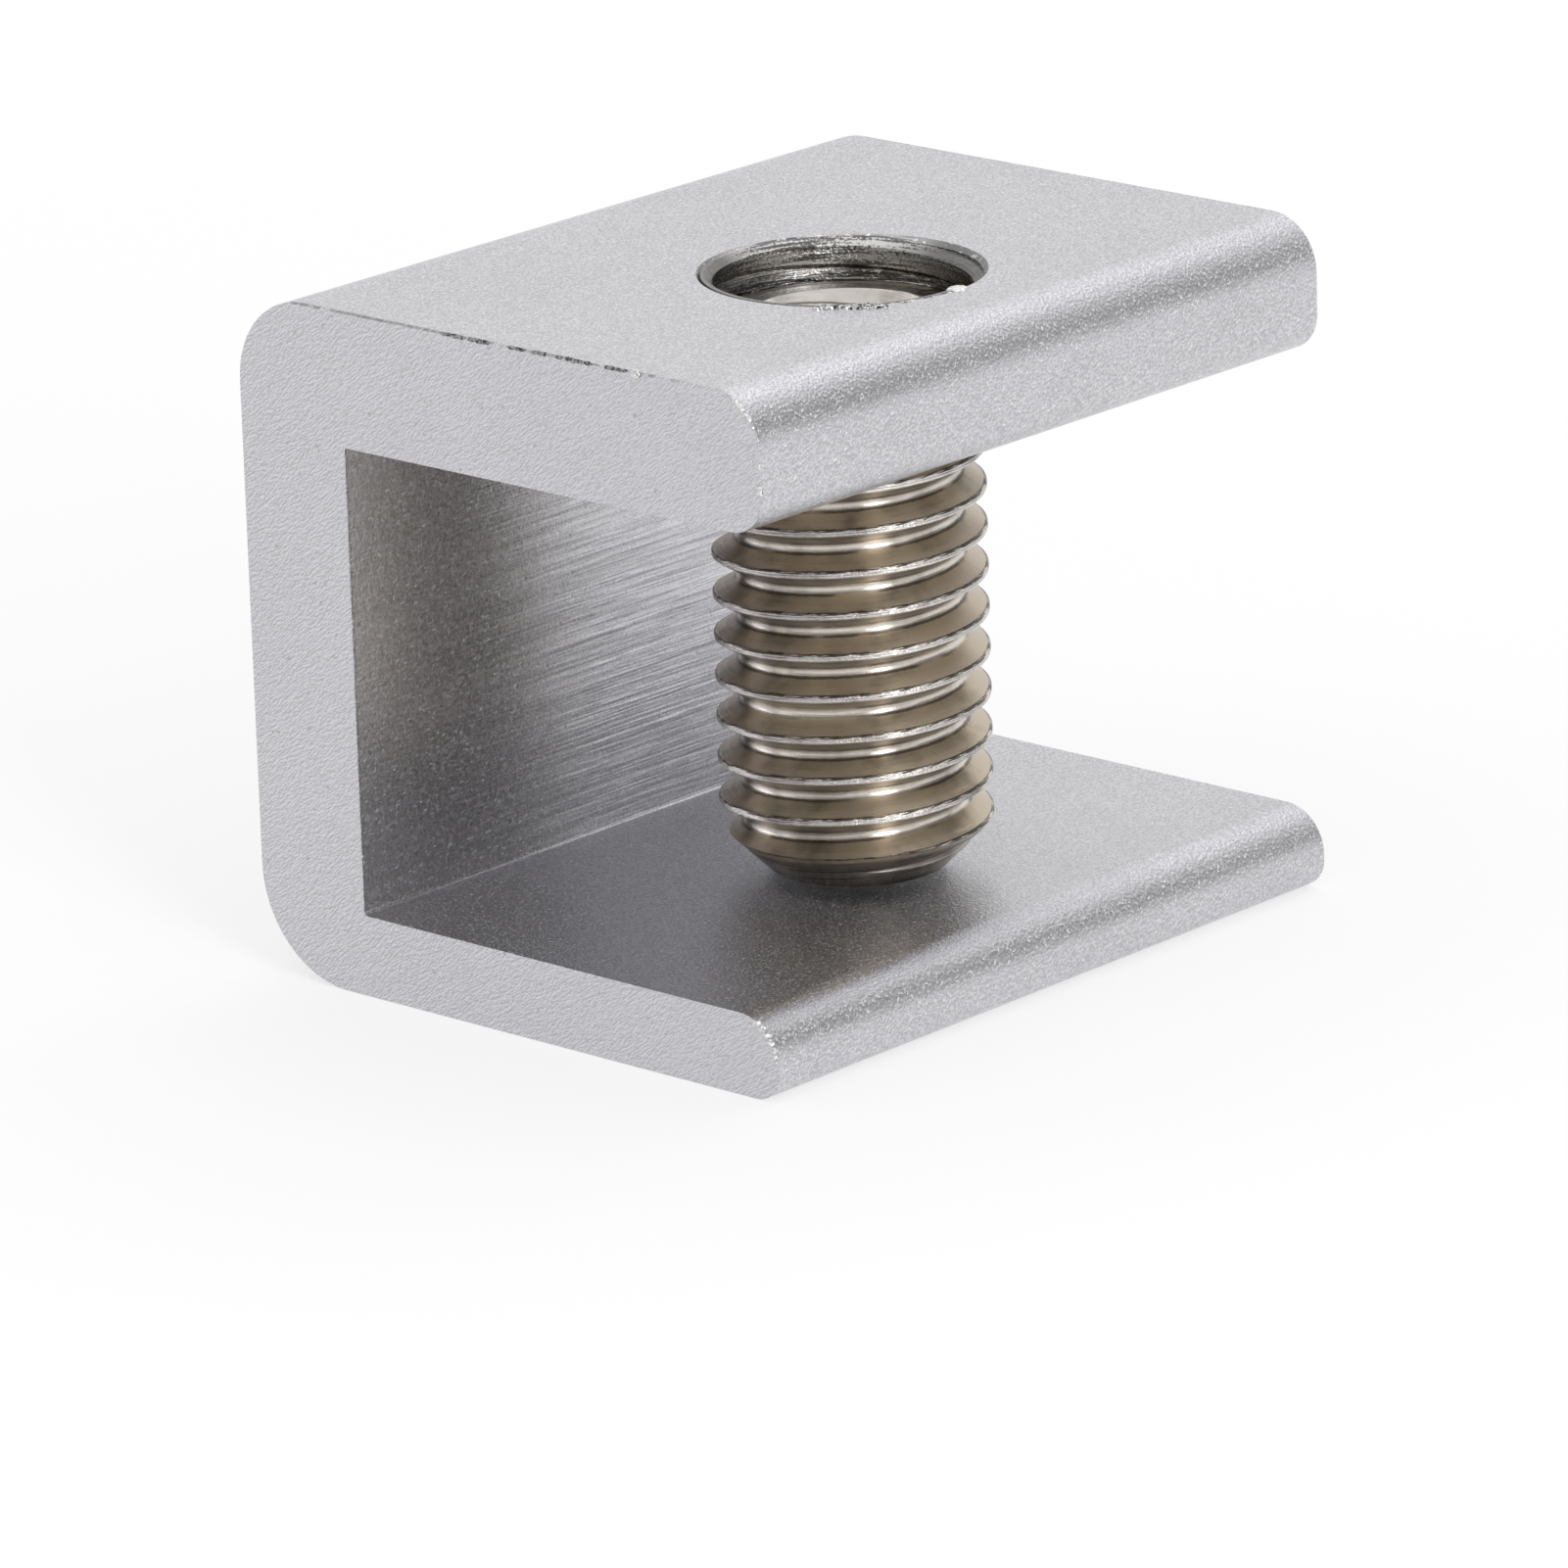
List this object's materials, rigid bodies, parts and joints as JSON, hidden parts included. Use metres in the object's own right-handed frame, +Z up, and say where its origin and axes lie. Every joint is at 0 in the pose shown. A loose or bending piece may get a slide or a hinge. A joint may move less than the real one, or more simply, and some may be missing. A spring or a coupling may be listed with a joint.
{
  "type": "sliding window lock",
  "caption": "Clamp-on lock for a sliding window: a C-shaped aluminium section with a socket set screw through its thick upper jaw.",
  "frame": {"origin": "middle of the lock's base, at the height of the face that it stands on", "axes": "+X from the web to the jaws' tips, +Y along the extrusion, +Z up the screw's axis"},
  "size_m": [0.0244, 0.0298, 0.025],
  "materials": {
    "blasted_aluminium": "fine blasted, satin",
    "plated_steel": "plated, rolled thread"
  },
  "bodies": {
    "section": {"channel_body": "blasted_aluminium"},
    "screw": {"set_screw": "plated_steel"}
  },
  "joints": [
    {"name": "screw_feed", "type": "slide", "parent": "section", "child": "screw", "axis": [0, 0, 1], "range_m": [-0.0004, 0.0165]}
  ]
}
